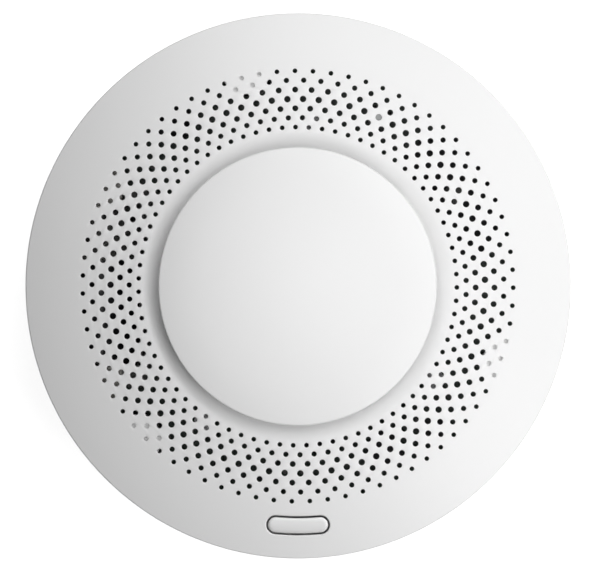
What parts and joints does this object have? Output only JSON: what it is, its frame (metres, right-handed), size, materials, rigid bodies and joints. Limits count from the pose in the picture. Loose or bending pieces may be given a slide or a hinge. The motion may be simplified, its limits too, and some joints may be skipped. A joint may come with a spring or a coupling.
{
  "type": "smoke detector",
  "caption": "Round white ceiling smoke detector with a domed cap, perforated ring, arc-shaped test button, side battery drawer and bayonet bracket.",
  "frame": {"origin": "centre of the bracket's back face, where it lies on the ceiling or wall", "axes": "+Z out of the perforated face, -Y towards the test button, -X towards the battery drawer"},
  "size_m": [0.12, 0.12, 0.0418],
  "materials": {
    "bracket_plastic": "fine satin",
    "shell_plastic": "fine satin",
    "cover_plastic": "fine satin",
    "button_plastic": "fine satin",
    "screw_steel": "zinc plated",
    "board": "solder mask",
    "black_plastic": "matt",
    "screen_steel": "etched",
    "led_tint": "clear tinted",
    "photodiode_dark": "dark filter",
    "brass_sheet": "rolled",
    "ceramic": "fired silver",
    "contact_plating": "nickel plated",
    "led_clear": "clear",
    "light_pipe": "clear moulded",
    "chip_black": "moulded",
    "capacitor_sleeve": "sleeve",
    "ferrite": "ferrite",
    "cell_wrap": "printed film, bare",
    "spring_steel": "drawn wire",
    "plunger_plastic": "moulded"
  },
  "bodies": {
    "bracket": {"mounting_bracket": "bracket_plastic"},
    "housing": {"rear_housing": "shell_plastic", "front_cover": "cover_plastic", "centre_cap": "cover_plastic", "housing_screws": "screw_steel", "circuit_board": "board", "board_screws": "screw_steel", "chamber_base": "black_plastic", "chamber_cover": "black_plastic", "insect_screen": "screen_steel", "infrared_led": "led_tint", "photodiode": "photodiode_dark", "horn_body": "black_plastic", "piezo_disc": "brass_sheet", "piezo_ceramic": "ceramic", "horn_contacts": "contact_plating", "indicator_led": "led_clear", "light_pipe": "light_pipe", "microcontroller": "chip_black", "capacitors": "capacitor_sleeve", "inductor": "ferrite", "chip_resistors": "chip_black", "battery_contact_positive": "contact_plating", "battery_contact_negative": "contact_plating", "button_return_spring": "spring_steel", "switch_body": "black_plastic"},
    "drawer": {"battery_drawer": "cover_plastic", "battery": "cell_wrap"},
    "button": {"test_button": "button_plastic"},
    "plunger": {"switch_plunger": "plunger_plastic"}
  },
  "joints": [
    {"name": "bayonet_twist", "type": "hinge", "parent": "bracket", "child": "housing", "pos_m": [0, 0, 0], "axis": [0, 0, 1], "range_deg": [0, 14]},
    {"name": "drawer_slide", "type": "slide", "parent": "housing", "child": "drawer", "axis": [-1, 0, 0], "range_m": [0, 0.027]},
    {"name": "button_press", "type": "slide", "parent": "housing", "child": "button", "axis": [0, 0, -1], "range_m": [0, 0.0005], "stiffness_N_per_m": 400, "springref_m": -0.003, "deforming": ["button_return_spring"]},
    {"name": "plunger_press", "type": "slide", "parent": "housing", "child": "plunger", "axis": [0, 0, -1], "range_m": [0, 0.0005]}
  ],
  "couplings": [
    {"joint": "plunger_press", "follows": "button_press", "ratio": 1}
  ]
}
